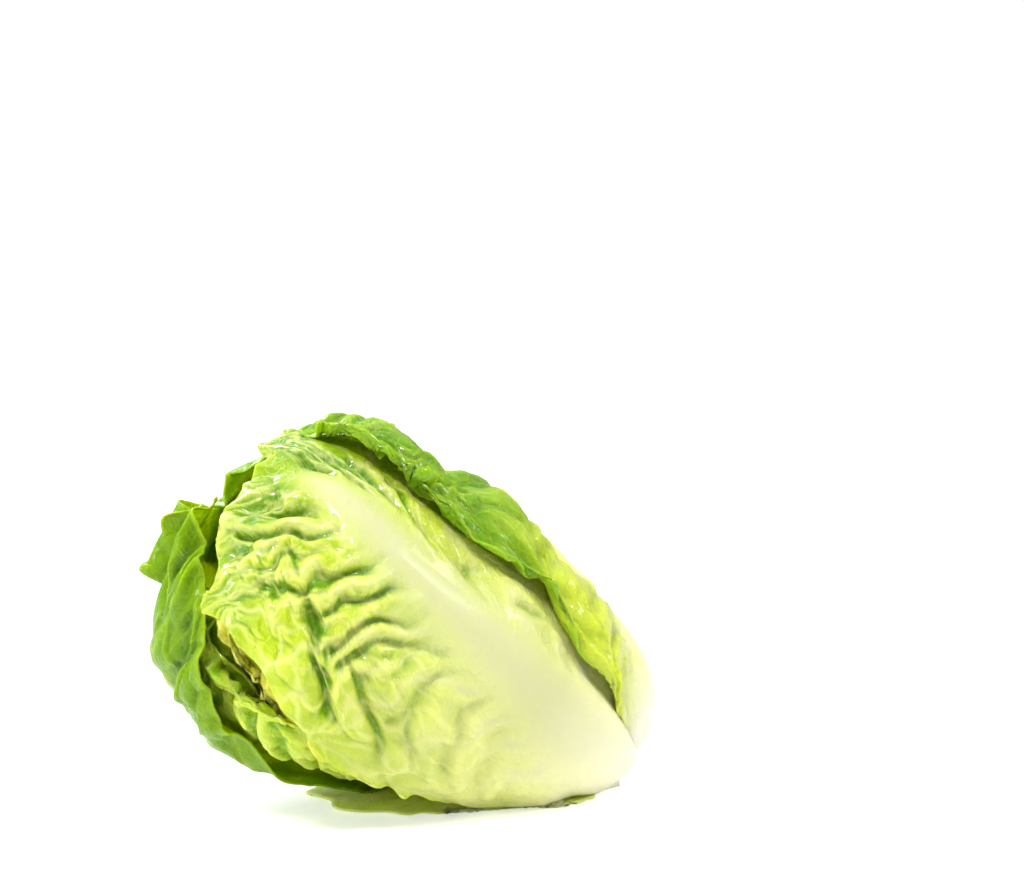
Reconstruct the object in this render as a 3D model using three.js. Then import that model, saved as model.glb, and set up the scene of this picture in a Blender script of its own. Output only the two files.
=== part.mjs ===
// Baby lettuce: one compact romaine-type head, picked and trimmed, lying on its side.
//
// The head is a cut stem with leaves growing from it in a spiral. Every leaf is one closed solid, a
// thin blade with a thick midrib, and lies in its own layer of an egg-shaped head, so that an older
// leaf always lies outside a younger one. The head rests on the leaf under it, pressed flat there.
//
// Units are millimetres and degrees, +Z is up, and the origin is on the flattened patch that the
// head lies on, near its middle. The stem's cut end points to +X and the crown to -X and up.

import * as THREE from "three";

// ---- Driving dimensions -------------------------------------------------------------------------

const HEAD_RADIUS = 42; // of the egg's widest ring
const HEAD_LENGTH = 117; // from the stem's cut face to the crown
const EGG_FOOT = -3; // where the outermost egg would close below the cut face
const HEART_FOOT = 44; // where the innermost egg closes, on top of the stem
const HEART_CROWN = 88;
const WAIST_SHARE = 0.67; // height of the widest ring, as a share of the egg's length
const CROWN_POWER = 0.88; // under 1, so the crown is blunter than an ellipse
const MERIDIANS_MEET = 20; // degrees past the crown's middle, so that leaves lie over it smoothly
// Above the stem the head is flatter than round, and its axis dips.
const HEEL = { at: 20, reach: 20, dip: 1, flatter: 0.11 };
const SAG = { depth: 4, from: 15, to: 70 }; // how far the crown's half hangs below the axis

const AXIS_TILT = 28; // of the head's axis above the surface it lies on
const FLOOR_TO_AXIS = 10.5; // height of the cut face's middle over that surface
const ORIGIN_TO_STEM = 36; // from the origin to the cut face's middle, along X

const NARROWS_FROM = 0.55; // share of the leaf's length where that starts
const TWIST_FROM = 15; // degrees up the egg where a midrib starts to turn
const TWIST_OVER = 120;
const RIB_WIDTHS = [11, 3]; // half width of a midrib at the stem and at the tip
const BLADE = 1; // thickness of a blade away from its midrib
const MARGIN = 0.7; // and along its edge
const PRESSED = 0.6; // what is left of a layer's thickness where it is pressed on the surface
const STEM_RADII = [2.2, 9.6]; // of the stem's top and of its cut face
const STEM_GAP = 0.4; // between the stem and each leaf's foot
const STEM_SIDES = 28;

// ---- The leaves, oldest and outermost first -----------------------------------------------------

// facing: where the midrib starts, around the axis: 0 front, 90 top, -90 the surface it lies on
// twist: how far the midrib has turned by the time it is TWIST_OVER degrees further up
// layer: radius of the leaf's inner face at the waist
// low, high: how far the blade reaches to either side of the midrib, in degrees
// foot: the same at the stem
// wide: how far up the leaf its blade is at its full width
// narrow: share of the blade's width that it loses towards its tip
// tip: how far up the egg it reaches at the midrib, 180 being the crown's middle
// lean: how much further its low edge reaches
// drop: how much lower its outer corners are
// rib: how much thicker than the blade its midrib is at the stem
const outerLeaves = [
  {
    name: "under_leaf",
    facing: -98, twist: 2, layer: 42.8, low: 38, high: 38, foot: 34,
    wide: 0.5, narrow: 0.25, tip: 68, lean: 0, drop: 10, rib: 2,
  },
  {
    name: "back_leaf",
    facing: 70, twist: 90, layer: 43.2, low: 60, high: 74, foot: 66,
    wide: 0.5, narrow: 0.1, tip: 110, lean: 14, drop: 8, rib: 1.4,
  },
  {
    name: "front_leaf",
    facing: -20, twist: 90, layer: 40, low: 62, high: 56, foot: 60,
    wide: 0.5, narrow: -0.06, tip: 127, lean: 22, drop: 4, rib: 2,
  },
  {
    name: "left_leaf",
    facing: -159, twist: 46, layer: 37.2, low: 66, high: 64, foot: 36,
    wide: 1, narrow: 0.23, tip: 169, lean: -9, drop: 0, rib: 2.4,
  },
  {
    name: "lower_leaf",
    facing: -115, twist: 30, layer: 33.4, low: 62, high: 44, foot: 40,
    wide: 0.5, narrow: 0.25, tip: 148, lean: 0, drop: 16, rib: 1.6,
  },
];

// The younger leaves follow in two runs, each leaf a golden turn on from the last. Two values are
// those of a run's first and last leaf.
const GOLDEN_TURN = 137.5;
const FIRST_MIDDLE_FACING = 8;
const middle = {
  count: 8,
  layers: [31, 17],
  spans: [64, 70],
  tips: [142, 150],
  ribs: [2, 1.4],
};
const heart = {
  count: 8,
  layers: [15.2, 4.6],
  spans: [74, 88],
  tips: [150, 146],
  ribs: [1.2, 0.7],
};
const YOUNG_FEET = [42, 60]; // their width at the stem, in degrees, on a wide layer and on none
const YOUNG_TWIST = 30;
const YOUNG_DROP = 30;

// Faces across and along each leaf.
const GRID_OUTER = { across: 14, along: 15 };
const GRID_MIDDLE = { across: 8, along: 11 };
const GRID_HEART = { across: 8, along: 10 };

const mix = THREE.MathUtils.lerp;
const toRad = THREE.MathUtils.degToRad;
const toDeg = THREE.MathUtils.radToDeg;
const { smoothstep, clamp } = THREE.MathUtils;

// A run of younger leaves, from its first midrib's place on.
function spiralLeaves(run, title, firstFacing) {
  return Array.from({ length: run.count }, (_, i) => {
    const share = i / (run.count - 1);
    const span = mix(...run.spans, share);
    const layer = mix(...run.layers, share);
    return {
      name: `${title}_leaf_${String(i + 1).padStart(2, "0")}`,
      facing: firstFacing - GOLDEN_TURN * i,
      twist: YOUNG_TWIST,
      layer,
      low: span,
      high: span,
      foot: mix(...YOUNG_FEET, (HEAD_RADIUS - layer) / HEAD_RADIUS),
      wide: 0.5,
      narrow: 0.25,
      lean: 0,
      tip: mix(...run.tips, share),
      drop: YOUNG_DROP,
      rib: mix(...run.ribs, share),
    };
  });
}

// ---- The egg that the leaves are laid on --------------------------------------------------------

// The axial heights of one layer's egg: where it closes at both ends, and its widest ring.
function eggHeights(layer) {
  const size = layer / HEAD_RADIUS;
  const foot = mix(HEART_FOOT, EGG_FOOT, size);
  const crown = mix(HEART_CROWN, HEAD_LENGTH, size);
  return { foot, crown, waist: mix(foot, crown, WAIST_SHARE) };
}

// Radius and height at `up` degrees from the foot of a layer's egg: 90 is its waist, 180 its crown.
function eggProfile(layer, up) {
  const { foot, crown, waist } = eggHeights(layer);
  const sine = Math.max(Math.sin(toRad(up)), 0);
  const cosine = Math.cos(toRad(up));
  if (up <= 90) return { radius: layer * sine, height: waist - (waist - foot) * cosine };
  return {
    radius: layer * sine ** CROWN_POWER,
    height: waist + (crown - waist) * (-cosine) ** CROWN_POWER,
  };
}

// How far a height is in the flatter stretch above the stem, from 0 to 1.
const heelShare = (height) => Math.exp(-(((height - HEEL.at) / HEEL.reach) ** 2));

const flattened = (side, height) => side * (1 - HEEL.flatter * heelShare(height));

// How far the head's own axis has left the straight one at a height, towards its top side.
function axisOffset(height) {
  return -HEEL.dip * heelShare(height) - SAG.depth * smoothstep(height, SAG.from, SAG.to);
}

// A point of a layer, in the head's own frame: X to the front, Y to the top side, Z to the crown.
function eggPoint(around, up, layer) {
  const { radius, height } = eggProfile(layer, up);
  const angle = toRad(around);
  const side = flattened(radius * Math.sin(angle), height) + axisOffset(height);
  return new THREE.Vector3(radius * Math.cos(angle), side, height);
}

// Moves a place on a leaf so that its meridians meet past the crown's middle, not at it: the map
// w / (1 - w / far) of the egg's stereographic plane, which leaves the stem end as it is.
function pastCrown(around, up) {
  const reach = Math.tan(toRad(up / 2));
  const far = Math.tan(toRad(90 - MERIDIANS_MEET / 2));
  const re = reach * Math.cos(toRad(around));
  const im = reach * Math.sin(toRad(around));
  const down = new THREE.Vector2(1 - re / far, -im / far);
  const turned = toDeg(Math.atan2(im, re)) - toDeg(down.angle());
  return { around: turned, up: 2 * toDeg(Math.atan(reach / down.length())) };
}

// The head's frame laid down: its X faces -Y, its Y points up and a little to +X, its Z to the crown.
const layDown = new THREE.Matrix4()
  .makeBasis(
    new THREE.Vector3(0, -1, 0),
    new THREE.Vector3(Math.sin(toRad(AXIS_TILT)), 0, Math.cos(toRad(AXIS_TILT))),
    new THREE.Vector3(-Math.cos(toRad(AXIS_TILT)), 0, Math.sin(toRad(AXIS_TILT))),
  )
  .setPosition(ORIGIN_TO_STEM, 0, FLOOR_TO_AXIS);

// ---- The stem, and where each leaf leaves it ----------------------------------------------------

// The stem's radius where a layer's leaf grows from it, and how far up the egg that is.
function footOf(layer) {
  const radius = mix(...STEM_RADII, clamp(layer / HEAD_RADIUS, 0, 1));
  const up = toDeg(Math.asin(radius / layer));
  return { radius, up };
}

// The outer face of the leaf that the head rests on, in its pressed part.
const RESTING_LAYER = outerLeaves[0].layer + BLADE;

function stemGeometry() {
  const steps = 12;
  const profile = [new THREE.Vector2(0, 0)];
  for (let i = 0; i <= steps; i++) {
    const layer = mix(HEAD_RADIUS, 5, i / steps);
    const { radius, up } = footOf(layer);
    const height = Math.max(eggProfile(layer, up).height, 0);
    profile.push(new THREE.Vector2(radius - STEM_GAP, height + i * 0.001));
  }
  profile.push(new THREE.Vector2(0, profile.at(-1).y + 1));
  const stem = new THREE.LatheGeometry(profile, STEM_SIDES);
  const at = stem.attributes.position;
  const point = new THREE.Vector3();
  for (let i = 0; i < at.count; i++) {
    // The lathe turns about Y: stand it up, then let it lean as the leaves do.
    const height = at.getY(i);
    point.set(at.getX(i), axisOffset(height) - flattened(at.getZ(i), height), height);
    point.applyMatrix4(layDown);
    at.setXYZ(i, point.x, point.y, point.z);
  }
  return stem;
}

// ---- One leaf -----------------------------------------------------------------------------------

// A point of a leaf. across is -1 at its low edge and 1 at its high one, along is 0 at the stem and 1
// at the tip, and skin is 0 on its inner face and 1 on its outer.
function leafPoint(leaf, across, along, skin) {
  const tip = leaf.tip - leaf.lean * across - leaf.drop * Math.abs(across) ** 3;
  const up = mix(footOf(leaf.layer).up, tip, along);
  const widest = across < 0 ? leaf.low : leaf.high;
  const narrowing = 1 - leaf.narrow * smoothstep(along, NARROWS_FROM, 1) ** 2;
  const span = mix(leaf.foot, widest, smoothstep(along, 0, leaf.wide)) * narrowing;
  const placed = pastCrown(across * span, up);
  const turned = leaf.twist * Math.max((up - TWIST_FROM) / TWIST_OVER, 0);

  const ribWidth = mix(...RIB_WIDTHS, along ** 0.7);
  const fromRib = (toRad(Math.abs(across) * span) * eggProfile(leaf.layer, up).radius) / ribWidth;
  const ribHere = leaf.rib * (1 - along) ** 1.2 * Math.exp(-(fromRib ** 2));
  const blade = mix(BLADE, MARGIN, Math.max(Math.abs(across), along) ** 6);
  const layer = leaf.layer + skin * (blade + ribHere);
  const point = eggPoint(leaf.facing + turned + placed.around, placed.up, layer);
  point.z = Math.max(point.z, 0); // the foot is trimmed flush with the stem
  point.applyMatrix4(layDown);
  point.z = Math.max(point.z, (RESTING_LAYER - layer) * PRESSED, 0);
  return point;
}

// A slab of the grid's cells bent into the leaf's shape.
function leafGeometry(leaf, grid) {
  const slab = new THREE.BoxGeometry(2, 1, 1, grid.across, grid.along, 1);
  const at = slab.attributes.position;
  for (let i = 0; i < at.count; i++) {
    const point = leafPoint(leaf, at.getX(i), at.getY(i) + 0.5, at.getZ(i) + 0.5);
    at.setXYZ(i, point.x, point.y, point.z);
  }
  return slab;
}

// ---- The head -----------------------------------------------------------------------------------

const green = (colour, roughness = 0.45) =>
  new THREE.MeshStandardMaterial({ color: colour, roughness, metalness: 0 });

const head = new THREE.Group();
head.name = "baby_lettuce";

function addPiece(name, geometry, colour) {
  geometry.computeVertexNormals();
  const piece = new THREE.Mesh(geometry, green(colour));
  piece.name = name;
  head.add(piece);
}

const middleLeaves = spiralLeaves(middle, "middle", FIRST_MIDDLE_FACING);
const firstHeartFacing = FIRST_MIDDLE_FACING - GOLDEN_TURN * middle.count;
const heartLeaves = spiralLeaves(heart, "heart", firstHeartFacing);

const runs = [
  { leaves: outerLeaves, grid: GRID_OUTER, colours: [0x7fae3a, 0xb5d06a] },
  { leaves: middleLeaves, grid: GRID_MIDDLE, colours: [0xa8cb4e, 0xcfdc6e] },
  { leaves: heartLeaves, grid: GRID_HEART, colours: [0xd8dd6a, 0xe6df5a] },
];

addPiece("cut_stem", stemGeometry(), 0xf0efd2);
for (const { leaves, grid, colours } of runs) {
  leaves.forEach((leaf, i) => {
    const shade = new THREE.Color(colours[0]).lerp(new THREE.Color(colours[1]), i / leaves.length);
    addPiece(leaf.name, leafGeometry(leaf, grid), shade);
  });
}

export default head;
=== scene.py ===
import math

import bmesh
import bpy
import numpy as np
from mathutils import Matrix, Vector


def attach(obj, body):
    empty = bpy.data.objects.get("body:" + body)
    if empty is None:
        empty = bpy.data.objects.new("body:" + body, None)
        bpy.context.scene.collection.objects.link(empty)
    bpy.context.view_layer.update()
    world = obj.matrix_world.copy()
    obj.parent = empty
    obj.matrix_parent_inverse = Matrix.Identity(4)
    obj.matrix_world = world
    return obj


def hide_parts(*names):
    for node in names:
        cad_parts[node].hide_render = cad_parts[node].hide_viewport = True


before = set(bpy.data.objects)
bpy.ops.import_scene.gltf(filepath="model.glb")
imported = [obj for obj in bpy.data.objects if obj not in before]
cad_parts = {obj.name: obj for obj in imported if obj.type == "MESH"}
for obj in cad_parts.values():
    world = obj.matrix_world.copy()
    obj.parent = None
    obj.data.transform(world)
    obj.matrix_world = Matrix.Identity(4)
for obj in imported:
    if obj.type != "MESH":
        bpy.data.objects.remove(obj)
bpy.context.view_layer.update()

scene = bpy.context.scene

# ---- The front leaf -----------------------------------------------------------------------------
# The leaf whose broad cream midrib faces the viewer. It grows from the stem's low end, leans over to
# the top, and its blade is pinched into folds between the side veins.

# The head is an egg of nested layers, lying down, as in the solids (millimetres and degrees).
HEAD_RADIUS = 42  # of the egg's widest ring
HEAD_LENGTH = 117  # from the stem's cut face to the crown
EGG_FOOT = -3  # where the outermost egg would close below the cut face
HEART_FOOT = 44  # where the innermost egg closes, on top of the stem
HEART_CROWN = 88
WAIST_SHARE = 0.67  # height of the widest ring, as a share of the egg's length
CROWN_POWER = 0.88  # under 1, so the crown is blunter than an ellipse
MERIDIANS_MEET = 20  # degrees past the crown's middle
# Above the stem the head is flatter than round, and its axis dips.
HEEL_AT, HEEL_REACH, HEEL_DIP, HEEL_FLATTER = 20, 20, 1, 0.11
SAG, SAG_FROM, SAG_TO = 4, 15, 70  # how far the crown's half hangs below the axis
AXIS_TILT = 28  # of the head's axis above the surface it lies on
FLOOR_TO_AXIS = 10.5  # height of the cut face's middle over that surface
ORIGIN_TO_STEM = 36  # from the origin to the cut face's middle, along X
STEM_RADII = (2.2, 9.6)  # of the stem's top and of its cut face
NARROWS_FROM = 0.55  # share of a leaf's length past which its blade narrows
TWIST_FROM, TWIST_OVER = 15, 120  # degrees up the egg where a midrib starts to turn, and over which


def mix(a, b, share):
    return a + (b - a) * share


def smooth(value, low, high):
    share = np.clip((value - low) / (high - low), 0, 1)
    return share * share * (3 - 2 * share)


def foot_of(layer):
    radius = mix(*STEM_RADII, min(layer / HEAD_RADIUS, 1))
    return math.degrees(math.asin(radius / layer))


def past_crown(around, up):
    """Moves a place on a leaf so that its meridians meet past the crown's middle."""
    plane = np.tan(np.radians(up) / 2) * np.exp(1j * np.radians(around))
    plane = plane / (1 - plane / math.tan(math.radians(90 - MERIDIANS_MEET / 2)))
    return np.degrees(np.angle(plane)), 2 * np.degrees(np.arctan(np.abs(plane)))


def before_crown(around, up):
    """The way back from past_crown."""
    plane = np.tan(np.radians(np.minimum(up, 179.5)) / 2) * np.exp(1j * np.radians(around))
    plane = plane / (1 + plane / math.tan(math.radians(90 - MERIDIANS_MEET / 2)))
    return np.degrees(np.angle(plane)), 2 * np.degrees(np.arctan(np.abs(plane)))


def egg_point(around, up, layer):
    """A point of a layer, laid down, in millimetres."""
    size = layer / HEAD_RADIUS
    foot = mix(HEART_FOOT, EGG_FOOT, size)
    crown = mix(HEART_CROWN, HEAD_LENGTH, size)
    waist = mix(foot, crown, WAIST_SHARE)
    sine = np.maximum(np.sin(np.radians(up)), 0)
    cosine = np.cos(np.radians(up))
    low = up <= 90
    radius = layer * np.where(low, sine, sine ** CROWN_POWER)
    height = np.where(low, waist - (waist - foot) * cosine,
                      waist + (crown - waist) * np.maximum(-cosine, 0) ** CROWN_POWER)
    heel = np.exp(-(((height - HEEL_AT) / HEEL_REACH) ** 2))
    side = radius * np.sin(np.radians(around)) * (1 - HEEL_FLATTER * heel)
    side = side - HEEL_DIP * heel - SAG * smooth(height, SAG_FROM, SAG_TO)
    front = radius * np.cos(np.radians(around))
    tilt = math.radians(AXIS_TILT)
    return np.stack([ORIGIN_TO_STEM + side * math.sin(tilt) - height * math.cos(tilt), -front,
                     FLOOR_TO_AXIS + side * math.cos(tilt) + height * math.sin(tilt)], -1)


def ripple(x, y, length, seed):
    """A smooth random surface of about -1.4 to 1.4 with folds about as long as length."""
    rng = np.random.RandomState(seed)
    waves = 7
    total = 0
    for _ in range(waves):
        turn, phase = rng.uniform(0, 2 * math.pi, 2)
        pace = 2 * math.pi / (length * rng.uniform(0.75, 1.35))
        total = total + np.sin(pace * (x * math.cos(turn) + y * math.sin(turn)) + phase)
    return total / math.sqrt(waves)


def cells(x, y, seed):
    """Distance to the border between the jittered cells of a unit grid, and a number for each cell."""
    size = 64
    jitter = 0.9
    table = np.random.RandomState(seed).rand(size, size, 3)
    ix, iy = np.floor(x), np.floor(y)
    near = np.full(x.shape, 9.0)
    nearest = np.zeros(x.shape + (2,))
    second = np.zeros(x.shape + (2,))
    next_near = np.full(x.shape, 9.0)
    number = np.zeros(x.shape)
    for dx in (-1, 0, 1):
        for dy in (-1, 0, 1):
            cx, cy = ix + dx, iy + dy
            draw = table[cx.astype(int) % size, cy.astype(int) % size]
            spot = np.stack([cx + 0.5 + jitter * (draw[..., 0] - 0.5),
                             cy + 0.5 + jitter * (draw[..., 1] - 0.5)], -1)
            far = np.hypot(spot[..., 0] - x, spot[..., 1] - y)
            closer = far < near
            middle = ~closer & (far < next_near)
            next_near = np.where(closer, near, np.where(middle, far, next_near))
            second = np.where(closer[..., None], nearest,
                              np.where(middle[..., None], spot, second))
            near = np.where(closer, far, near)
            nearest = np.where(closer[..., None], spot, nearest)
            number = np.where(closer, draw[..., 2], number)
    apart = np.maximum(np.linalg.norm(second - nearest, axis=-1), 0.2)
    return (next_near ** 2 - near ** 2) / (2 * apart), number


# What each leaf is on the egg: the same names and values as in the solids. In degrees, facing is where
# its midrib starts around the axis (0 front, 90 top), twist how far the midrib turns, low and high how
# far the blade reaches to either side of it, foot the same at the stem, tip how far up it reaches,
# lean how much further its low edge reaches, and drop how much lower its outer corners are. layer is
# its radius in millimetres, wide how far up it is at its full width, and narrow the share that it
# loses towards its tip.
OUTER = {
    "under_leaf": dict(facing=-98, twist=2, layer=42.8, low=38, high=38, foot=34, tip=68, drop=10),
    "back_leaf": dict(facing=70, twist=90, layer=43.2, low=60, high=74, foot=66, narrow=0.1,
                      tip=110, lean=14, drop=8),
    "front_leaf": dict(facing=-20, twist=90, layer=40, low=62, high=56, foot=60, narrow=-0.06,
                       tip=127, lean=22, drop=4),
    "left_leaf": dict(facing=-159, twist=46, layer=37.2, low=66, high=64, foot=36, wide=1, narrow=0.23,
                      tip=169, lean=-9, drop=0),
    "lower_leaf": dict(facing=-115, twist=30, layer=33.4, low=62, high=44, foot=40, tip=148, drop=16),
}


def leaf_frame(leaf, across, along, layer):
    """The smooth sheet of a leaf: its points, and where they are on the egg."""
    seed = leaf["seed"]
    edge = leaf["edge"] * smooth(along, *leaf.get("edge_from", (-2, -1)))
    up_margin, which_margin = along * 9, np.sign(across) * 3
    notches = ripple(up_margin, which_margin, 2.6, seed)
    wavy = 1 + edge * (notches + 0.2 * ripple(up_margin, which_margin, 0.9, seed + 3))
    widest = np.where(across < 0, leaf["low"], leaf["high"])
    round_off = 1 - leaf.get("narrow", 0.25) * smooth(along, NARROWS_FROM, 1) ** 2
    span = mix(leaf["foot"], widest, smooth(along, 0, leaf.get("wide", 0.5))) * wavy * round_off
    tip = leaf["tip"] - leaf.get("lean", 0) * across - leaf["drop"] * np.abs(across) ** 3
    tip = tip - leaf.get("corner", 10) * np.abs(across) ** 9
    for place, width, more in leaf.get("lobes", ()):
        tip = tip + more * np.exp(-(((across - place) / width) ** 2))
    tip = tip * (1 + edge * 0.8 * ripple(across * 4, along * 0 + 7, 1.7, seed + 5))
    up = mix(foot_of(leaf["layer"]), tip, along)
    around, up_there = past_crown(across * span, up)
    turned = leaf["twist"] * np.maximum((up - TWIST_FROM) / TWIST_OVER, 0)
    around = leaf["facing"] + turned + around
    return egg_point(around, up_there, layer), around, up_there


def hidden_by(older, around, up):
    """How far inside the outline of an older leaf a place is: 0 outside, 1 well inside."""
    turned = older["twist"] * np.maximum((up - TWIST_FROM) / TWIST_OVER, 0)
    away = (around - older["facing"] - turned + 180) % 360 - 180
    flat_around, flat_up = before_crown(away, up)
    foot = foot_of(older["layer"])
    widest = np.where(flat_around < 0, older["low"], older["high"])
    near_tip = older["tip"] - older.get("lean", 0) * np.clip(flat_around / widest, -1, 1)
    share = (flat_up - foot) / (near_tip - foot)
    narrower = 1 - older.get("narrow", 0.25) * smooth(share, NARROWS_FROM, 1) ** 2
    span = mix(older["foot"], widest, smooth(share, 0, older.get("wide", 0.5)))
    across = np.abs(flat_around) / (span * narrower)
    along = (flat_up - foot) / (near_tip - older["drop"] * np.minimum(across, 1) ** 3 - foot)
    return smooth(1 - across, -0.08, 0.08) * smooth(1 - along, -0.05, 0.07)


def from_path(x, y, path):
    """Distance to a path of x, y points, and how far along it that is, 0 to 1."""
    lengths = [math.dist(a, b) for a, b in zip(path, path[1:])]
    near = np.full(x.shape, 1e3)
    share = 0 * x
    passed = 0
    for (x0, y0), (x1, y1), length in zip(path, path[1:], lengths):
        along = np.clip(((x - x0) * (x1 - x0) + (y - y0) * (y1 - y0)) / length ** 2, 0, 1)
        away = np.hypot(x - x0 - along * (x1 - x0), y - y0 - along * (y1 - y0))
        share = np.where(away < near, (passed + along * length) / sum(lengths), share)
        near = np.minimum(away, near)
        passed += length
    return near, share


def puffed(x, y, puffs):
    """Height of rounded rolls and blisters with crisp feet, low where they leave the midrib."""
    height = 0 * x
    for half, high, *path in puffs:
        away, share = from_path(x, y, path)
        away = np.minimum(away / half, 1)
        height = np.maximum(height, high * mix(0.3, 1, smooth(share, 0, 0.3)) * (1 - away ** 2) ** 0.6)
    return height


def hollowed(x, y, hollows):
    """Depth of long hollows, each thin where it leaves the midrib and wider at its far end."""
    shade_and_tip_green = 0 * x
    for half, deep, *path in hollows:
        away, share = from_path(x, y, path)
        away = away / (half * mix(0.8, 1.1, share))
        shade_and_tip_green = np.maximum(shade_and_tip_green, deep * mix(0.3, 1, smooth(share, 0, 0.35)) / (1 + away ** 2) ** 1.5)
    return shade_and_tip_green


def softened(grid):
    """Evens out steps as small as the grid's own cells."""
    grid = np.pad(grid, 1, mode="edge")
    grid = (grid[:-2] + 2 * grid[1:-1] + grid[2:]) / 4
    return (grid[:, :-2] + 2 * grid[:, 1:-1] + grid[:, 2:]) / 4


def grow_leaf(name, leaf, cells_across, cells_along, older=()):
    """Makes a leaf's mesh, with its veins and folds, and stores what its material reads."""
    grid = bmesh.new()
    bmesh.ops.create_grid(grid, x_segments=cells_across, y_segments=cells_along, size=1)
    mesh = bpy.data.meshes.new(name + "_leaf")
    grid.to_mesh(mesh)
    grid.free()
    flat = np.empty(len(mesh.vertices) * 3)
    mesh.vertices.foreach_get("co", flat)
    flat = flat.reshape(-1, cells_across + 1, 3)
    middle = round(cells_across * leaf.get("low_share", 0.5))
    column = (flat[..., 0] + 1) / 2 * cells_across
    across = np.where(column < middle, column / middle - 1, (column - middle) / (cells_across - middle))
    along = (flat[..., 1] + 1) / 2

    layer = leaf["layer"] + leaf.get("lift", 0)
    sheet, around, up = leaf_frame(leaf, across, along, layer)
    step_u = np.gradient(sheet, axis=1)
    step_v = np.gradient(sheet, axis=0)
    size_u = np.linalg.norm(step_u, axis=-1)
    size_v = np.linalg.norm(step_v, axis=-1)
    unit_u = step_u / np.maximum(size_u, 1e-6)[..., None]
    unit_v = step_v / np.maximum(size_v, 1e-6)[..., None]
    out = np.cross(unit_u, unit_v)
    out /= np.maximum(np.linalg.norm(out, axis=-1), 1e-6)[..., None]

    # x is millimetres from the midrib, y millimetres up it, m millimetres in from the margin.
    x = np.cumsum(size_u, axis=1)
    x = x - x[:, middle:middle + 1]
    y = np.cumsum(size_v, axis=0) - size_v[:1]
    rib_y = y[:, middle:middle + 1] + 0 * x
    length = rib_y.max()
    share = rib_y / length
    side = np.sign(across)
    to_side = np.where(across < 0, x - x[:, :1], x[:, -1:] - x)
    to_tip = y[-1:, :] - y
    m = to_side * to_tip / (to_side + to_tip + 1e-6)
    seed = leaf["seed"]

    # Where older leaves cover it the blade lies flatter.
    in_sight = 1.0
    for other in older:
        in_sight = in_sight * (1 - hidden_by(other, around, up))
    shown = mix(leaf.get("kept", 0.15), 1, in_sight)

    # The midrib: broad and thick at the stem, thin at the tip.
    rib_width = leaf.get("rib_width", 12) * (1 - share) ** 0.8 + 1
    rib_high = leaf.get("rib_high", 2.6) * (1 - share) ** 1.2 + 0.4
    rib = np.exp(-np.abs(x / rib_width) ** 2.2)
    keel = np.exp(-((x / (0.18 * rib_width)) ** 2))

    # The side veins rise from the midrib, nearly square to it low down and steeply near the tip.
    bent_x = np.abs(x) + 1.7 * ripple(x, rib_y, 26, seed + 11) + 0.7 * ripple(x, rib_y, 8, seed + 13)
    bent_y = rib_y + 2.0 * ripple(x, rib_y, 24, seed + 12) + 0.7 * ripple(x, rib_y, 9, seed + 14)
    start = (bent_y - 0.12 * bent_x) / (1 + 0.0085 * bent_x * (1 + bent_x / 150))
    pace = leaf.get("vein_gap", 7) * np.where(side > 0, leaf.get("high_gap", 1), 1)
    order = start / pace + 0.5 * (side > 0) + seed * 0.37
    order = order + 0.16 * np.sin(2 * math.pi * order / 3.1 + seed)
    from_vein = np.abs((order + 0.5) % 1 - 0.5)
    row = np.random.RandomState(seed + 40).rand(96)[(np.floor(order).astype(int) + 20) % 96]
    past_rib = smooth(np.abs(x) - 0.6 * rib_width, 0, 6)
    low_part = mix(leaf.get("base_calm", 0.25), 1, smooth(share, 0.08, 0.42))
    calm = low_part * np.where(side > 0, leaf.get("high_fold", 1), 1)

    # The blade rises in rounded rolls along the side veins, with hollows between them.
    width = mix(0.5, 0.4, row)
    roll = smooth(from_vein, mix(0.2, 0.06, row), width)
    here = 0.9 + 0.4 * ripple(x, rib_y, 24, seed + 15)
    fold_depth = leaf.get("fold", 3.4) * past_rib * calm * (0.6 + 0.55 * row) * np.clip(here, 0.2, 1.3)
    fold_depth = fold_depth * (1 - 0.6 * smooth(np.abs(x), 16, 40))

    # Between the side veins the blade is quilted in cells, and those in finer ones.
    cell = leaf.get("cell", 6.5)
    fine_cell = 3.3
    net_a, room_a = cells(order * pace / cell + 20, bent_x / cell + side * 9 + 20, seed + 1)
    fine_x = bent_x + 0.5 * ripple(x, rib_y, 4.5, seed + 16)
    fine_y = order * pace + 0.5 * ripple(x, rib_y, 4.5, seed + 17)
    net_b, room_b = cells(fine_y / fine_cell + 30, fine_x / fine_cell + side * 7 + 30, seed + 2)
    pillow_a = 1 - (1 - np.clip(net_a / 0.45, 0, 1)) ** 2.4
    pillow_b = 1 - (1 - np.clip(net_b / 0.42, 0, 1)) ** 2
    far_out = 0.4 + 0.6 * smooth(np.abs(x), 12, 26)
    high_a = leaf.get("blister", 1.6) * past_rib * calm * (room_a - 0.2) * far_out
    finer_up = mix(0.25, 1, smooth(share, 0.4, 0.75))
    high_b = leaf.get("crinkle", 0.35) * past_rib * calm * (room_b - 0.1) * finer_up
    high_b = high_b * (1 + leaf.get("rough_tip", 0) * np.exp(-to_tip / 5))

    # The leaf's own rolls and hollows, drawn as paths and made a little uneven.
    drawn_x = x + 0.5 * ripple(x, rib_y, 9, seed + 18)
    drawn_y = rib_y + 0.5 * ripple(x, rib_y, 9, seed + 19)
    deep = hollowed(drawn_x, drawn_y, leaf.get("hollows", ()))
    puff = 1.3 * puffed(drawn_x, drawn_y, leaf.get("puffs", ()))
    deep, puff = softened(deep), softened(puff)
    height = shown * (high_a * pillow_a + high_b * pillow_b - fold_depth * roll - deep + puff)
    height = height + shown * leaf.get("swell", 1.3) * past_rib * ripple(x, rib_y, 32, seed + 21)

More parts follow.
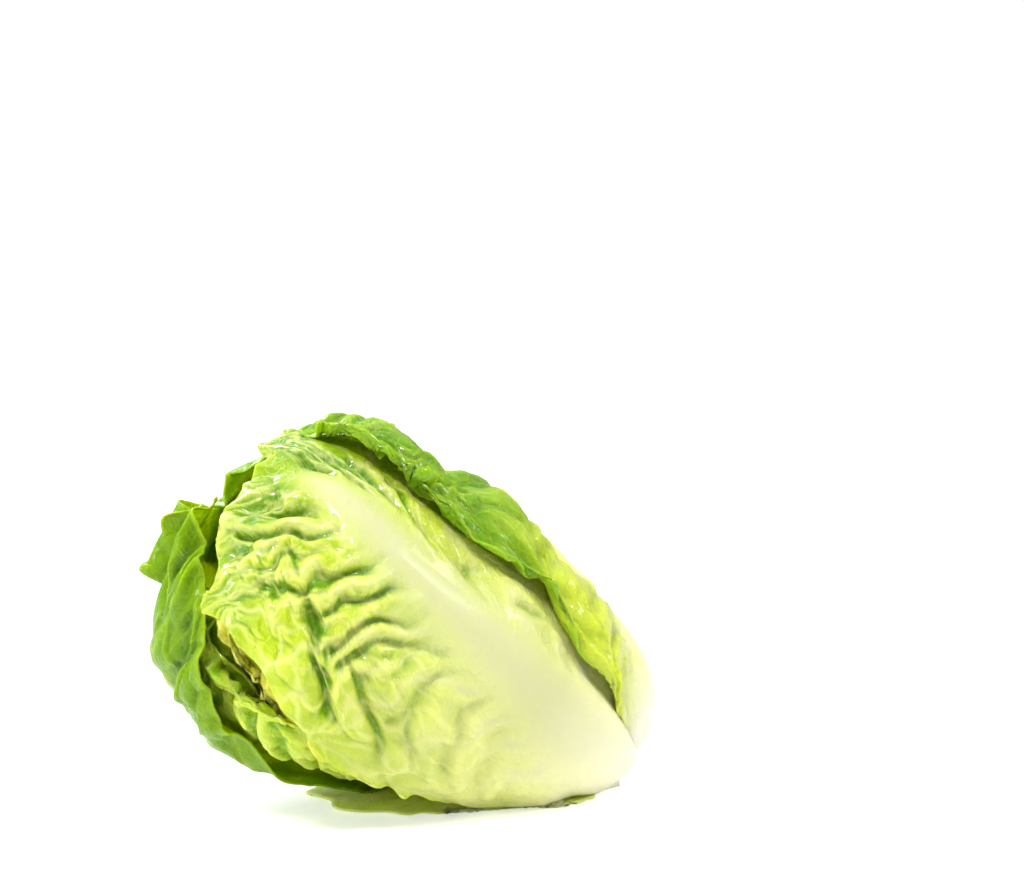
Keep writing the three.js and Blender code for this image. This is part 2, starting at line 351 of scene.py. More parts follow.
    # The margin ruffles and turns outwards or inwards.
    on_edge = rib_y + (np.abs(x).max() - np.abs(x))
    uneven = 2.6 * ripple(x, rib_y, 30, seed + 31)
    frill = np.sin(2 * math.pi * on_edge / leaf.get("frill_length", 21) + uneven)
    near_edge = np.exp(-m / 5)
    near_edge = near_edge * smooth(share, *leaf.get("frill_from", (0.12, 0.35)))
    height = height + shown * leaf.get("frill", 1.4) * near_edge * frill
    far_margin = (side < 0) * np.exp(-to_side / 6) * smooth(share, 0.55, 0.75)
    height = height + leaf.get("low_flare", 0) * far_margin * (1 - 0.8 * smooth(share, 0.84, 0.97))
    height = height - leaf.get("sink", 0) * (1 - in_sight)
    height = height - leaf.get("foot_tuck", 0) * np.exp(-to_side / 6) * (1 - smooth(share, 0, 0.2))
    flare = leaf.get("flare", 0) * np.exp(-m / 7) * smooth(share, 0.1, 0.3)
    flare = flare * (1 - smooth(share, *leaf.get("flare_ends", (2, 3))))
    height = height + rib_high * (rib + 0.05 * keel) + flare

    # Crests and grooves come from how the finished surface bends. The material paints the crests
    # paler, a painted highlight, and the grooves deeper green, a painted shade.
    width_u, width_v = np.maximum(size_u, 0.1), np.maximum(size_v, 0.1)
    rise_u = np.gradient(height, axis=1) / width_u
    rise_v = np.gradient(height, axis=0) / width_v
    hollowness = np.gradient(rise_u, axis=1) / width_u + np.gradient(rise_v, axis=0) / width_v
    crest = np.clip(-0.7 * hollowness - 0.2, 0, 1) * past_rib
    groove = np.clip(0.7 * hollowness - 0.2, 0, 1) * past_rib
    points = sheet + out * height[..., None]
    points[..., 2] = np.maximum(points[..., 2], leaf.get("floor", 0.6))
    mesh.vertices.foreach_set("co", (points / 1000).ravel())

    # What the material reads: white midrib and side veins, veins with the crests as a painted
    # highlight, painted shade in the hollows and grooves together with the darker green near the tip,
    # and nearness to the margin.
    branch = np.exp(-((from_vein * pace / 1.7) ** 2)) * np.exp(-np.maximum(np.abs(x) - rib_width, 0) / 11)
    white = np.clip(rib + 0.5 * branch * past_rib, 0, 1) * (1 - np.clip(0.5 * deep, 0, 0.9))
    white = white * (1 - smooth(share, *leaf.get("rib_ends", (0.84, 0.95))))
    vein_and_crest_light = np.maximum(np.exp(-((from_vein * pace / 0.7) ** 2)), 0.8 * np.exp(-((net_a * 7 / 0.6) ** 2)))
    # Painted shade: hollows, folds, blister borders and grooves are coloured deeper green, and crests
    # lighter. Near the front leaf's tip the deeper green is the leaf's own colour.
    hollow = fold_depth * roll + deep + np.abs(high_a) * (1 - pillow_a) + 0.8 * np.clip(-high_a, 0, 1)
    at_tip = smooth(share, 0.84, 0.95) + smooth(x, 4, 9) * smooth(share, 0.7, 0.85)
    shade_and_tip_green = hollow / 1.8 + 0.5 * groove - 0.3 * crest + leaf.get("tip_deep", 0) * at_tip
    shade_and_tip_green = np.clip(shade_and_tip_green, 0, 1)
    # Painted highlight: the crests take the pale colour of the veins.
    vein_and_crest_light = np.maximum(vein_and_crest_light, 0.7 * crest)
    near_margin = np.exp(-m / 5) * smooth(share, 0.12, 0.35)
    look = mesh.attributes.new("look", "FLOAT_COLOR", "POINT")
    look_values = np.stack([white, vein_and_crest_light * past_rib, shade_and_tip_green, near_margin], -1)
    look.data.foreach_set("color", look_values.ravel())
    place = mesh.attributes.new("place", "FLOAT_VECTOR", "POINT")
    place_values = np.stack([x / 1000, y / 1000, share + 0 * x], -1)
    place.data.foreach_set("vector", place_values.ravel())

    # The wall is thin in the blade and thick in the midrib.
    piece = bpy.data.objects.new(name + "_blade", mesh)
    scene.collection.objects.link(piece)
    thick = piece.vertex_groups.new(name="thick")
    full = leaf.get("thickness", 0.55)
    stoutest = full + leaf.get("rib_high", 2.6)
    wall = np.clip((full + rib_high * rib * 0.85) / stoutest, 0, 1).ravel()
    steps = 20
    for step in range(steps + 1):
        band = np.nonzero(np.round(wall * steps) == step)[0]
        if len(band):
            thick.add(band.tolist(), step / steps, "REPLACE")
    solid = piece.modifiers.new("wall", "SOLIDIFY")
    solid.thickness = stoutest / 1000
    solid.offset = -1
    solid.vertex_group = "thick"
    solid.thickness_vertex_group = 0
    for polygon in mesh.polygons:
        polygon.use_smooth = True
    return piece


def srgb(red, green, blue):
    """A screen colour, 0 to 255, as the light it stands for."""
    parts = [value / 255 for value in (red, green, blue)]
    return tuple(p / 12.92 if p <= 0.04045 else ((p + 0.055) / 1.055) ** 2.4 for p in parts)


def leaf_material(name, cream, pale, light, deep, margin, blade_start=0.12, pace=1.9, veined=0.62,
                  specular=0.15, coat=0.3):
    """A leaf: cream midrib, pale veins, crests painted pale as a highlight, and a blade that deepens
    towards the tip and, as painted shade, in the folds.
    """
    material = bpy.data.materials.new(name)
    material.use_nodes = True
    tree = material.node_tree
    nodes, links = tree.nodes, tree.links
    shader = nodes["Principled BSDF"]

    def add(kind, **settings):
        node = nodes.new(kind)
        for key, value in settings.items():
            setattr(node, key, value)
        return node

    def math_node(operation, a, b, clamp=False):
        node = add("ShaderNodeMath", operation=operation, use_clamp=clamp)
        for slot, value in enumerate((a, b)):
            if isinstance(value, (int, float)):
                node.inputs[slot].default_value = value
            else:
                links.new(value, node.inputs[slot])
        return node.outputs[0]

    def blend(factor, a, b):
        node = add("ShaderNodeMix", data_type="RGBA")
        links.new(factor, node.inputs[0])
        for slot, value in ((6, a), (7, b)):
            if isinstance(value, tuple):
                node.inputs[slot].default_value = (*value, 1)
            else:
                links.new(value, node.inputs[slot])
        return node.outputs[2]

    look = add("ShaderNodeAttribute", attribute_name="look")
    parts = add("ShaderNodeSeparateColor")
    links.new(look.outputs["Color"], parts.inputs[0])
    white, vein_and_crest_light, shade_and_tip_green = parts.outputs
    edge = look.outputs["Alpha"]
    place = add("ShaderNodeAttribute", attribute_name="place")
    where = add("ShaderNodeSeparateXYZ")
    links.new(place.outputs["Vector"], where.inputs[0])
    share = where.outputs[2]

    solid = add("ShaderNodeTexCoord").outputs["Object"]

    def voronoi(scale):
        node = add("ShaderNodeTexVoronoi", feature="DISTANCE_TO_EDGE")
        node.inputs["Scale"].default_value = scale
        links.new(solid, node.inputs["Vector"])
        return node.outputs["Distance"]

    def noise(scale, detail=3):
        node = add("ShaderNodeTexNoise")
        node.inputs["Scale"].default_value = scale
        node.inputs["Detail"].default_value = detail
        links.new(solid, node.inputs["Vector"])
        return node.outputs["Fac"]

    fine = math_node("SMOOTH_MIN", math_node("MULTIPLY", voronoi(430), 6), 1.0)
    fine.node.inputs[2].default_value = 0.2
    finer = math_node("MINIMUM", math_node("MULTIPLY", voronoi(1150), 4), 1.0)
    mottle = noise(90)
    cloudy = noise(28, 2)

    # From the pale base of the blade to its light green, and to deep green in the folds, which is painted
    # shade.
    towards_tip = math_node("ADD", math_node("MULTIPLY", math_node("SUBTRACT", share, blade_start), pace),
                            math_node("MULTIPLY", math_node("SUBTRACT", cloudy, 0.5), 0.7))
    towards_tip = math_node("ADD", towards_tip, math_node("MULTIPLY", edge, 0.25), clamp=True)
    blade = blend(towards_tip, pale, light)
    # Painted shade: the folds, hollows and grooves blend towards the deep green, as do the margin and
    # mottling.
    shaded_greener = math_node("MULTIPLY", math_node("ADD", shade_and_tip_green, math_node("MULTIPLY", edge, 0.3)),
                        math_node("ADD", math_node("MULTIPLY", towards_tip, 0.7), 0.3))
    mottled = math_node("MULTIPLY", math_node("SUBTRACT", mottle, 0.5), 0.5)
    shaded_greener = math_node("ADD", shaded_greener, mottled, clamp=True)
    blade = blend(shaded_greener, blade, deep)
    # Painted highlight: the crests take the pale vein colour along with the veins.
    veins_and_crest_light = math_node("MAXIMUM", math_node("MULTIPLY", vein_and_crest_light, veined),
                      math_node("MULTIPLY", math_node("SUBTRACT", 1.0, fine), 0.12))
    blade = blend(veins_and_crest_light, blade, pale)
    blade = blend(math_node("MULTIPLY", math_node("POWER", edge, 3.0), 0.55), blade, margin)
    at_stem = math_node("SUBTRACT", 1.0, math_node("MULTIPLY", share, 3.0), clamp=True)
    stalk = blend(at_stem, cream, srgb(250, 246, 216))
    at_foot = math_node("SUBTRACT", 1.6, math_node("MULTIPLY", share, 8.0), clamp=True)
    colour = blend(math_node("MAXIMUM", math_node("POWER", white, 0.8), at_foot), blade, stalk)
    links.new(colour, shader.inputs["Base Color"])

    bump = add("ShaderNodeBump")
    bump.inputs["Strength"].default_value = 0.5
    bump.inputs["Distance"].default_value = 0.0005
    relief = math_node("ADD", math_node("MULTIPLY", fine, -0.55), math_node("MULTIPLY", finer, -0.18))
    relief = math_node("MULTIPLY", relief, math_node("SUBTRACT", 1.0, math_node("MULTIPLY", white, 0.85)))
    relief = math_node("ADD", relief, math_node("MULTIPLY", noise(700, 4), 0.5))
    links.new(relief, bump.inputs["Height"])
    links.new(bump.outputs[0], shader.inputs["Normal"])
    rough = math_node("ADD", math_node("MULTIPLY", noise(160), 0.22), 0.23)
    links.new(rough, shader.inputs["Roughness"])
    shader.inputs["Subsurface Weight"].default_value = 0.6
    shader.inputs["Subsurface Radius"].default_value = (1.0, 1.0, 0.15)
    shader.inputs["Subsurface Scale"].default_value = 0.003
    shader.inputs["Specular IOR Level"].default_value = specular
    # Wax shines on the green blade, less so on the midrib and at the leaf's foot.
    bare = math_node("MULTIPLY", math_node("MAXIMUM", white, at_foot), 0.85)
    waxed = math_node("SUBTRACT", 1.0, bare, clamp=True)
    links.new(math_node("MULTIPLY", waxed, coat), shader.inputs["Coat Weight"])
    shader.inputs["Coat Roughness"].default_value = 0.1
    return material


def finish_leaf(name, piece, material):
    piece.data.materials.append(material)
    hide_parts(name)
    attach(piece, "root")


# The hollows between its side veins, and the rolls and blisters between the hollows: half width,
# depth or height, and a path from the midrib outwards in x, y, all in millimetres. x is negative on
# the leaf's low side, and y is measured up the midrib from the stem.
FRONT_HOLLOWS = [
    (1.6, 2.8, (-6.5, 111), (-10, 115), (-13, 120), (-14, 125)),
    (3.6, 3.2, (-8, 119), (-11, 123)),
    (0.9, 2.6, (-7.5, 104), (-11, 107.5), (-14.5, 113), (-19, 119.5), (-19.5, 125)),
    (1.8, 2, (-22, 121), (-23, 126)),
    (0.8, 1.4, (-18, 110), (-20, 107.5)),
    (0.7, 1, (-17, 112), (-21.5, 117)),
    (1, 2.4, (-3.5, 92.5), (-10, 95), (-18.5, 100), (-24, 105), (-25, 110), (-28, 115)),
    (1.8, 2.4, (-24, 107), (-26.5, 111.5)),
    (2.1, 4.4, (-23, 103), (-27, 96)),
    (1.6, 3.4, (-30, 98.5), (-33, 93), (-36, 90), (-39, 85)),
    (1.2, 2.2, (-30.5, 93), (-33, 89)),
    (0.9, 2.4, (-5, 84), (-10, 87), (-15.5, 91.5), (-22, 97)),
    (1.5, 2, (-11, 88), (-13.5, 90)),
    (1.1, 2.1, (-6.5, 76.5), (-11.5, 78), (-14.5, 81.5), (-21, 86.5), (-27.5, 92)),
    (1.6, 2.6, (-19.5, 86), (-22, 87.5)),
    (1.3, 1.8, (-11, 73), (-19, 78.5), (-25, 83.5), (-28, 86)),
    (1.7, 2.4, (-24.5, 83), (-28, 86)),
    (0.6, 1, (-14.5, 73.5), (-20, 75.5), (-28, 79)),
    (1.4, 2.2, (-27, 81.5), (-30, 77), (-33.5, 72), (-39, 70)),
    (1.8, 1.3, (-8, 67), (-12.7, 71), (-16, 71)),
    (1.4, 1.2, (-8.5, 61.5), (-14, 65), (-17.5, 65.5), (-25.5, 65.5), (-31, 62)),
    (0.8, 0.7, (-26, 65.5), (-30, 69.5), (-33, 71)),
    (1.7, 1, (-9.5, 52.5), (-15.7, 54.5), (-20, 52.5), (-25, 54), (-29.5, 53)),
    (1.6, 0.7, (-14, 42), (-20, 43), (-26, 44)),
    (1.8, 3.4, (5, 116), (7, 124)),
    (1.2, 2.8, (8, 105), (10, 120)),
    (1.2, 2.8, (12, 100), (14, 117)),
    (1.2, 2.4, (11, 90), (17, 108)),
    (1.2, 2, (13, 82), (20, 98)),
    (1.4, 1.8, (11, 79), (15, 72)),
    (1.4, 1.8, (13, 61), (17, 55)),
]
FRONT_PUFFS = [
    (2.6, 1.8, (-8, 106.5), (-14.5, 116), (-16.5, 121), (-16.5, 128)),
    (2, 1, (-5.5, 114), (-8, 117)),
    (3, 1.3, (-9, 103), (-16, 111), (-20, 117)),
    (2.8, 1.3, (-8, 98.5), (-14, 101.5), (-20, 106), (-23, 110)),
    (3, 1.3, (-24, 116), (-26, 120)),
    (3, 1.6, (-7, 89), (-12, 92), (-18, 96.5), (-21, 99.5)),
    (3.4, 1.5, (-7, 80.5), (-12, 84), (-18, 88.5), (-25, 94)),
    (2.2, 1.2, (-9, 75.5), (-16, 79.5), (-23, 85), (-28, 88.5)),
    (1.6, 0.9, (-17, 75.5), (-25, 80.5)),
    (4.4, 1.3, (-21, 72), (-25, 74)),
    (5.5, 2.1, (-31, 86), (-36, 78)),
    (4, 1.4, (-34, 62), (-38, 66)),
    (2.5, 0.9, (-12, 67.5), (-20, 69)),
    (3.4, 1.2, (-13, 60), (-20, 60), (-26, 60)),
    (3, 1.1, (-27, 57), (-33, 58)),
    (1.6, 0.7, (-11, 56), (-18, 56.5), (-23, 55)),
    (3.4, 1, (-14, 48), (-22, 48.5), (-30, 49)),
    (3.2, 0.9, (-20, 38), (-28, 39)),
    (3.6, 1.4, (-30, 104), (-32, 110)),
    (3.4, 1.2, (-36, 96), (-38, 102)),
]
front = dict(OUTER["front_leaf"], low=59, seed=3, edge=0.03, rib_width=15.5, rib_high=2.6, fold=0.6,
             lift=0.4, flare=0.4, frill=1, kept=0.6, sink=1.5, vein_gap=9, high_gap=1.3, high_fold=0.8,
             blister=0.9, crinkle=0.4, rough_tip=1.5, tip_deep=0.45, corner=12, low_share=0.68,
             hollows=FRONT_HOLLOWS, puffs=FRONT_PUFFS)
front_blade = grow_leaf("front_leaf", front, 200, 236, [OUTER["back_leaf"]])
front_look = leaf_material("front_leaf", srgb(196, 198, 148), srgb(236, 238, 140), srgb(182, 204, 0),
                           srgb(84, 136, 0), srgb(180, 204, 30), blade_start=0.25, pace=2.1, coat=0.55)
finish_leaf("front_leaf", front_blade, front_look)

# ---- The back leaf ------------------------------------------------------------------------------
# The outermost tall leaf, over the top and back. Its green margin folds over the front leaf, and its
# blade is crumpled in rolls along the side veins.
BACK_PUFFS = [
    (3, 1.3, (-29, 37), (-32, 42)),
    (2.4, 1.1, (-37, 36), (-39, 40)),
    (3, 1.4, (-30, 48), (-31, 53)),
    (2.4, 1.2, (-38, 46), (-40, 50)),
    (2, 1, (-46, 52), (-47, 56)),
    (2.6, 1.1, (-26, 44), (-27, 47)),
    (2.2, 1, (-40, 57), (-42, 61)),
    (2.8, 1.2, (-32, 60), (-34, 65)),
    (2, 0.9, (-50, 62), (-51, 66)),
    (2.4, 1, (-30, 29), (-32, 32)),
]
BACK_HOLLOWS = [
    (1, 1.4, (-27, 32), (-35, 44), (-43, 56)),
    (1, 1.2, (-34, 50), (-36, 57)),
    (0.9, 1, (-46, 58), (-48, 64)),
]
back = dict(OUTER["back_leaf"], seed=8, edge=0.06, rib_width=9, rib_high=1.4, fold=1.8, blister=1.8,
            frill=2, crinkle=0.8, base_calm=0.6, vein_gap=9, corner=16, lobes=[(0.25, 0.3, 10)],
            frill_from=(0.3, 0.55), edge_from=(0.25, 0.6), foot_tuck=2.2, puffs=BACK_PUFFS,
            hollows=BACK_HOLLOWS)
back_blade = grow_leaf("back_leaf", back, 210, 225)
back_look = leaf_material("back_leaf", srgb(230, 230, 170), srgb(200, 216, 60), srgb(108, 156, 8),
                          srgb(56, 108, 0), srgb(136, 178, 30), blade_start=0.37, pace=3.6, veined=0.25,
                          specular=0.06, coat=0.4)
finish_leaf("back_leaf", back_blade, back_look)

# ---- The left leaf ------------------------------------------------------------------------------
# Wraps the left of the crown from behind and below, where it saw the light and is dark green. Its rim
# rolls outwards there in two tips.
LEFT_PUFFS = [
    (3.2, 5, (-8, 134), (-9, 149)),
    (2.6, 6.2, (-9, 147), (-9, 149)),
    (3, 5.8, (-8, 134), (-7.5, 136)),
    (3.2, 2, (7, 138), (10, 142), (12, 147)),
    (5, 1.5, (16, 137), (20, 132)),
    (0.9, 0.8, (23, 130), (28, 127), (29, 122)),
    (0.9, 0.7, (15, 128), (15, 122), (19, 118)),
    (5, 1.4, (24, 114), (30, 112)),
    (4, 1.2, (34, 118), (38, 114)),
    (4, 1.2, (30, 103), (36, 100)),
]
LEFT_HOLLOWS = [
    (1.8, 3, (1, 148), (3, 142), (4, 137), (7, 132)),
    (1.4, 2.4, (8, 136), (13, 139), (17, 142)),
    (3, 1.2, (20, 128), (23, 122)),
    (1.2, 1.2, (14, 117), (24, 118.5), (34, 120)),
    (1.2, 1, (27, 112), (30, 104)),
]
left = dict(OUTER["left_leaf"], low=70, seed=14, edge=0.012, rib_width=5, fold=0.7, blister=1.2,
            crinkle=0.15, cell=9, frill=0.6, frill_length=40, vein_gap=12, swell=1.8, sink=4, corner=0,
            rib_ends=(0.5, 0.75), tip=171, lean=-6, low_flare=4, puffs=LEFT_PUFFS, hollows=LEFT_HOLLOWS)
left_blade = grow_leaf("left_leaf", left, 190, 200, [OUTER["back_leaf"], OUTER["front_leaf"]])
left_look = leaf_material("left_leaf", srgb(210, 222, 110), srgb(158, 186, 20), srgb(106, 146, 0),
                          srgb(56, 98, 0), srgb(150, 184, 30), veined=0.3, specular=0.04, coat=0.2)
finish_leaf("left_leaf", left_blade, left_look)

# ---- The under leaf -----------------------------------------------------------------------------
# The oldest leaf, short and low, pressed flat between the head and what it lies on. Only its ruffled
# margin shows.
under = dict(OUTER["under_leaf"], high=44, seed=21, edge=0.04, rib_width=9, fold=1.2, blister=1.4,
             floor=0.3, thickness=0.45, flare=3, frill=2.6, frill_length=10, crinkle=0.6)
under_blade = grow_leaf("under_leaf", under, 110, 110)
# Partly painted light: these colours are lifted paler to make up for the shade under the head, over the
# leaf's own pale yellow-green.
under_look = leaf_material("under_leaf", srgb(230, 240, 170), srgb(238, 246, 160), srgb(226, 242, 130),
                           srgb(190, 220, 70), srgb(230, 244, 140))
finish_leaf("under_leaf", under_blade, under_look)

# ---- The lower leaf -----------------------------------------------------------------------------
# The next younger leaf. It shows as green folds deep in the crown's opening, between the left leaf's
# margin and the front leaf's, and lies close under the left leaf elsewhere.
lower = dict(OUTER["lower_leaf"], tip=144, low=30, high=46, seed=27, edge=0.03, rib_width=10, fold=4,
             blister=1.2, swell=0.5, frill=0.6, sink=1.5, lobes=[(-1, 0.5, -18)])
lower_blade = grow_leaf("lower_leaf", lower, 150, 160,
                        [OUTER["back_leaf"], OUTER["front_leaf"], OUTER["left_leaf"]])
# Partly painted light: its colours, the deep green most, are lifted paler to make up for the shade in the
# crown's opening, over the leaf's own lime green.
lower_look = leaf_material("lower_leaf", srgb(226, 240, 140), srgb(214, 232, 80), srgb(184, 216, 30),
                           srgb(120, 170, 0), srgb(206, 226, 70))
finish_leaf("lower_leaf", lower_blade, lower_look)

# ---- The middle leaves --------------------------------------------------------------------------
# Eight younger, yellow-green leaves, each a golden turn on from the last and in a layer further in.
# The first is the crumpled yellow one that shows in the crown's opening.
GOLDEN_TURN = 137.5
RUN_LEAVES = 8
FIRST_FACING = 8
YOUNG_FEET = (42, 60)  # their width at the stem, in degrees, on a wide layer and on none
YOUNG_TWIST = 30
YOUNG_DROP = 30


def spiral_leaf(i, first, layers, spans, tips):
    """A younger leaf on the egg. Two values are those of a run's first and last leaf."""
    share = i / (RUN_LEAVES - 1)
    layer = mix(*layers, share)
    span = mix(*spans, share)
    foot = mix(*YOUNG_FEET, (HEAD_RADIUS - layer) / HEAD_RADIUS)
    return dict(facing=first - GOLDEN_TURN * i, twist=YOUNG_TWIST, layer=layer, low=span, high=span,
                foot=foot, tip=mix(*tips, share), drop=YOUNG_DROP)


# Partly painted light: both looks, their deep colours most, are lifted paler to make up for the shade in
# the crown's opening, over the leaves' own yellow-green and yellow.
middle_look = leaf_material("middle_leaf", srgb(226, 236, 130), srgb(214, 230, 74), srgb(192, 220, 44),
                            srgb(144, 188, 20), srgb(210, 226, 64))
yellow_look = leaf_material("yellow_leaf", srgb(236, 238, 140), srgb(242, 240, 100), srgb(234, 232, 66),
                            srgb(200, 200, 40), srgb(244, 236, 90))
young = []
for i in range(RUN_LEAVES):
    leaf = spiral_leaf(i, FIRST_FACING, (31, 17), (64, 70), (142, 150))
    leaf.update(seed=50 + i, edge=0.03, rib_width=8, rib_high=1.6, fold=1.8, blister=1.4)
    if i == 0:
        leaf.update(low=75, wide=1.2, drop=18, flare=5, flare_ends=(0.7, 0.9), frill=1.6, frill_length=9,
                    crinkle=0.8)
    name = f"middle_leaf_{i + 1:02d}"
    blade = grow_leaf(name, leaf, 70, 80, young[-3:])
    finish_leaf(name, blade, yellow_look if i == 0 else middle_look)
    young.append(leaf)

# ---- The heart leaves ---------------------------------------------------------------------------
# Eight small yellow leaves that go on with the same spiral, folded over each other in the heart, where
# no light reached them.
heart_look = leaf_material("heart_leaf", srgb(236, 232, 140), srgb(228, 220, 80), srgb(220, 208, 44),
                           srgb(190, 184, 20), srgb(214, 208, 50))
for i in range(RUN_LEAVES):
    leaf = spiral_leaf(i, FIRST_FACING - GOLDEN_TURN * RUN_LEAVES, (15.2, 4.6), (74, 88), (150, 146))
    leaf.update(seed=70 + i, edge=0.03, rib_width=4, rib_high=0.9, fold=0.9, blister=0.8, crinkle=0.25,
                frill=0.9, cell=4, vein_gap=7)
    name = f"heart_leaf_{i + 1:02d}"
    blade = grow_leaf(name, leaf, 40, 50, young[-3:])
    finish_leaf(name, blade, heart_look)
    young.append(leaf)

# ---- The cut stem -------------------------------------------------------------------------------
# The short core that every leaf grows from, sliced off when the head was picked. Its face has sunk a
# little in drying, has a ring of vessels, and is browned at the rim.
STEM_GAP = 0.4  # between the stem and each leaf's foot
TOP_LAYER = 5  # the layer that the stem's top ends in
FACE_SUNK = 0.8
RIDGE, RIDGE_PACE = 0.15, 28  # height of the face's rings, and radians of them from middle to rim
FACE_ROWS, SIDE_ROWS, STEM_COLUMNS = 16, 14, 72
grid = bmesh.new()
bmesh.ops.create_grid(grid, x_segments=STEM_COLUMNS, y_segments=FACE_ROWS + SIDE_ROWS, size=1)
radial = grid.verts.layers.float.new("radial")
axis = np.array([-math.cos(math.radians(AXIS_TILT)), 0, math.sin(math.radians(AXIS_TILT))])
for vert in grid.verts:
    angle = (vert.co.x + 1) * 180
    row = (vert.co.y + 1) / 2 * (FACE_ROWS + SIDE_ROWS)
    across_face = min(row / FACE_ROWS, 1)
    up_side = max(row / SIDE_ROWS - FACE_ROWS / SIDE_ROWS, 0)
    layer = mix(HEAD_RADIUS, TOP_LAYER, up_side)
    radius = mix(*STEM_RADII, layer / HEAD_RADIUS)
    skin = egg_point(angle, foot_of(layer), layer)
    middle = (skin + egg_point(angle + 180, foot_of(layer), layer)) / 2
    reach = 0 if up_side > 0.99 else across_face * (1 - STEM_GAP / radius)
    point = middle + (skin - middle) * reach
    ridge = RIDGE * math.sin(across_face * RIDGE_PACE) * across_face
    sunk = FACE_SUNK * (1 - across_face ** 4) + ridge
    height = float((point - [ORIGIN_TO_STEM, 0, FLOOR_TO_AXIS]) @ axis)
    point = point + axis * (max(-height, 0) + sunk)
    vert.co = point / 1000
    vert[radial] = across_face + up_side
bmesh.ops.remove_doubles(grid, verts=grid.verts, dist=1e-6)
bmesh.ops.recalc_face_normals(grid, faces=grid.faces)
stem_mesh = bpy.data.meshes.new("cut_stem_core")
grid.to_mesh(stem_mesh)
grid.free()
for polygon in stem_mesh.polygons:
    polygon.use_smooth = True
stem = bpy.data.objects.new("cut_stem_core", stem_mesh)
scene.collection.objects.link(stem)

stem_look = bpy.data.materials.new("cut_stem")
stem_look.use_nodes = True
stem_nodes, stem_links = stem_look.node_tree.nodes, stem_look.node_tree.links
stem_shader = stem_nodes["Principled BSDF"]
from_middle = stem_nodes.new("ShaderNodeAttribute")
from_middle.attribute_name = "radial"
blotches = stem_nodes.new("ShaderNodeTexNoise")
blotches.inputs["Scale"].default_value = 350
blotches.inputs["Detail"].default_value = 4
solid = stem_nodes.new("ShaderNodeTexCoord")
stem_links.new(solid.outputs["Object"], blotches.inputs["Vector"])
uneven = stem_nodes.new("ShaderNodeMath")
uneven.operation = "MULTIPLY_ADD"
stem_links.new(blotches.outputs["Fac"], uneven.inputs[0])
uneven.inputs[1].default_value = 0.16
stem_links.new(from_middle.outputs["Fac"], uneven.inputs[2])
halved = stem_nodes.new("ShaderNodeMath")
halved.operation = "MULTIPLY"
stem_links.new(uneven.outputs[0], halved.inputs[0])
halved.inputs[1].default_value = 0.5
tones = stem_nodes.new("ShaderNodeValToRGB")
# distance from the face's middle (its rim is 0.54, the side lies beyond), colour
STEM_TONES = [
    (0, (226, 222, 160)),
    (0.2, (240, 238, 196)),
    (0.34, (222, 212, 140)),
    (0.38, (238, 234, 190)),
    (0.48, (226, 204, 140)),
    (0.53, (164, 112, 54)),
    (0.55, (214, 190, 130)),
    (0.575, (236, 236, 190)),
]
for place, tone in STEM_TONES[1:-1]:
    tones.color_ramp.elements.new(place)
for element, (place, tone) in zip(tones.color_ramp.elements, STEM_TONES):
    element.position = place
    element.color = (*srgb(*tone), 1)
stem_links.new(halved.outputs[0], tones.inputs["Fac"])
stem_links.new(tones.outputs["Color"], stem_shader.inputs["Base Color"])
stem_bump = stem_nodes.new("ShaderNodeBump")
stem_bump.inputs["Strength"].default_value = 0.6
stem_bump.inputs["Distance"].default_value = 0.0004
stem_links.new(blotches.outputs["Fac"], stem_bump.inputs["Height"])
stem_links.new(stem_bump.outputs[0], stem_shader.inputs["Normal"])
stem_shader.inputs["Roughness"].default_value = 0.5
stem_shader.inputs["Subsurface Weight"].default_value = 0.4
stem_shader.inputs["Subsurface Radius"].default_value = (1.0, 0.9, 0.4)
stem_shader.inputs["Subsurface Scale"].default_value = 0.003
finish_leaf("cut_stem", stem, stem_look)

# ---- The floor, the light and the camera --------------------------------------------------------
# The head lies on a smooth white table in a white studio, lit softly from above and from both sides.
# The camera looks at it from a little above the table, with a long lens.
bpy.ops.mesh.primitive_plane_add(size=6, location=(0, 0, 0))
floor = bpy.context.object
floor.name = "floor"
floor_look = bpy.data.materials.new("floor")
floor_look.use_nodes = True
floor_shader = floor_look.node_tree.nodes["Principled BSDF"]
floor_shader.inputs["Base Color"].default_value = (0.9, 0.9, 0.9, 1)
floor_shader.inputs["Roughness"].default_value = 0.25
floor_shader.inputs["Emission Color"].default_value = (1, 1, 1, 1)
floor_seen = floor_look.node_tree.nodes.new("ShaderNodeLightPath")
floor_glow = floor_look.node_tree.nodes.new("ShaderNodeMapRange")
floor_glow.inputs["To Min"].default_value = 0.15
floor_glow.inputs["To Max"].default_value = 0.48
floor_look.node_tree.links.new(floor_seen.outputs["Is Camera Ray"], floor_glow.inputs["Value"])
floor_look.node_tree.links.new(floor_glow.outputs[0], floor_shader.inputs["Emission Strength"])
floor.data.materials.append(floor_look)

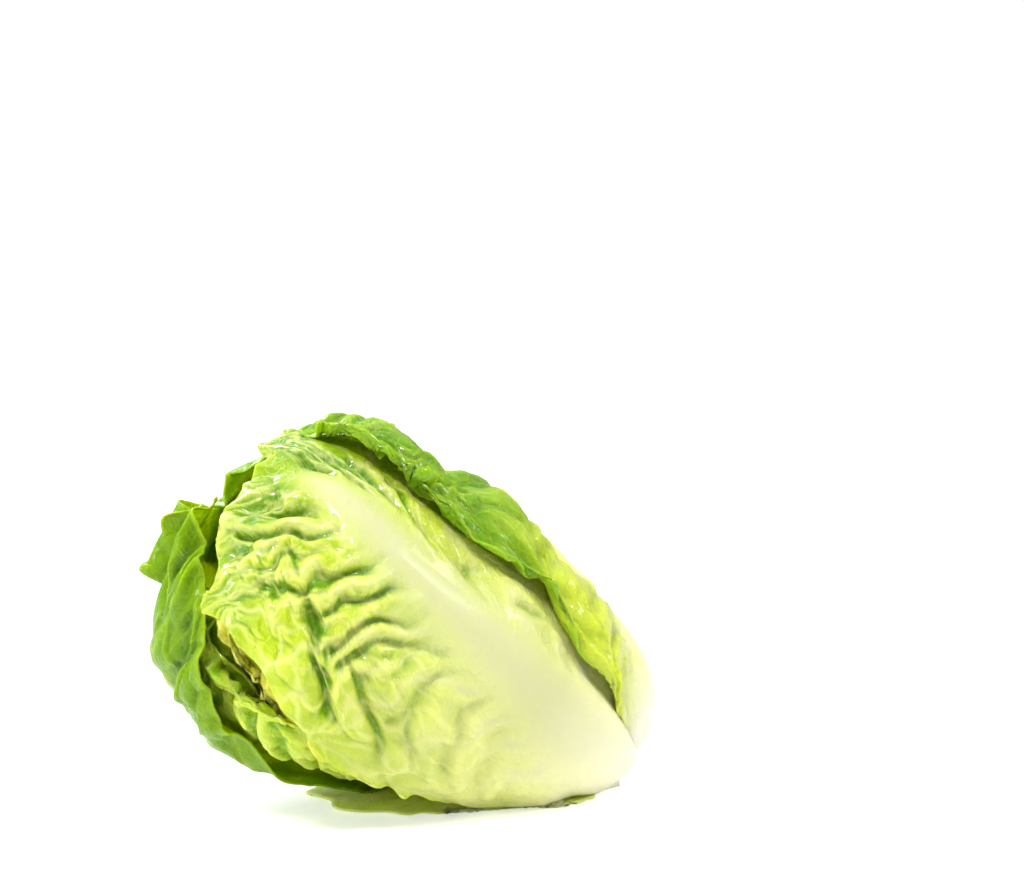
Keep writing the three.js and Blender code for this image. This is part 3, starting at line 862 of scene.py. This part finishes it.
world = bpy.data.worlds.new("studio")
scene.world = world
world.use_nodes = True
sky = world.node_tree
sky.nodes["Background"].inputs["Color"].default_value = (1, 1, 1, 1)
seen = sky.nodes.new("ShaderNodeLightPath")
around = sky.nodes.new("ShaderNodeTexCoord")
height = sky.nodes.new("ShaderNodeSeparateXYZ")
sky.links.new(around.outputs["Generated"], height.inputs[0])
lit = sky.nodes.new("ShaderNodeMapRange")
lit.inputs["To Min"].default_value = 0.25
lit.inputs["To Max"].default_value = 0.95
sky.links.new(height.outputs[2], lit.inputs["Value"])
strength = sky.nodes.new("ShaderNodeMix")
sky.links.new(seen.outputs["Is Camera Ray"], strength.inputs[0])
sky.links.new(lit.outputs[0], strength.inputs[2])
strength.inputs[3].default_value = 1.1
sky.links.new(strength.outputs[0], sky.nodes["Background"].inputs["Strength"])

# name, position, size, watts
LIGHTS = [
    ("key", (-0.3, -0.4, 0.75), 0.14, 5.7),
    ("back", (-0.35, 0.6, 0.6), 0.3, 5),
    ("right", (0.55, -0.35, 0.5), 0.2, 2),
    ("left", (-0.6, 0.0, 0.14), 0.15, 1.3),
]
aim = Vector((-0.02, 0, 0.04))
for name, position, size, watts in LIGHTS:
    data = bpy.data.lights.new(name, "AREA")
    data.size = size
    data.energy = watts
    lamp = bpy.data.objects.new(name, data)
    lamp.location = position
    lamp.rotation_euler = (aim - Vector(position)).to_track_quat("-Z", "Y").to_euler()
    scene.collection.objects.link(lamp)

VIEW_AZIMUTH, VIEW_ELEVATION = -17, 7  # degrees
LENS = 100
CAMERA_AWAY = 646.46  # millimetres from the point that it looks at
HEAD_MIDDLE = (-19, 0, 37)
# The head lies left of the picture's middle and below it, by so many millimetres.
LEFT_OF_MIDDLE, BELOW_MIDDLE = 27.73, 44.55
turn, rise = math.radians(VIEW_AZIMUTH), math.radians(VIEW_ELEVATION)
back_way = np.array([math.sin(turn) * math.cos(rise), -math.cos(turn) * math.cos(rise), math.sin(rise)])
right_way = np.array([math.cos(turn), math.sin(turn), 0])
up_way = np.cross(back_way, right_way)
aim_at = np.array(HEAD_MIDDLE) + right_way * LEFT_OF_MIDDLE + up_way * BELOW_MIDDLE
eye = bpy.data.cameras.new("camera")
eye.lens = LENS
eye.clip_start = 0.01
camera = bpy.data.objects.new("camera", eye)
camera.location = (aim_at + back_way * CAMERA_AWAY) / 1000
camera.rotation_euler = Vector(tuple(-back_way)).to_track_quat("-Z", "Y").to_euler()
scene.collection.objects.link(camera)
scene.camera = camera
scene.view_settings.view_transform = "Standard"
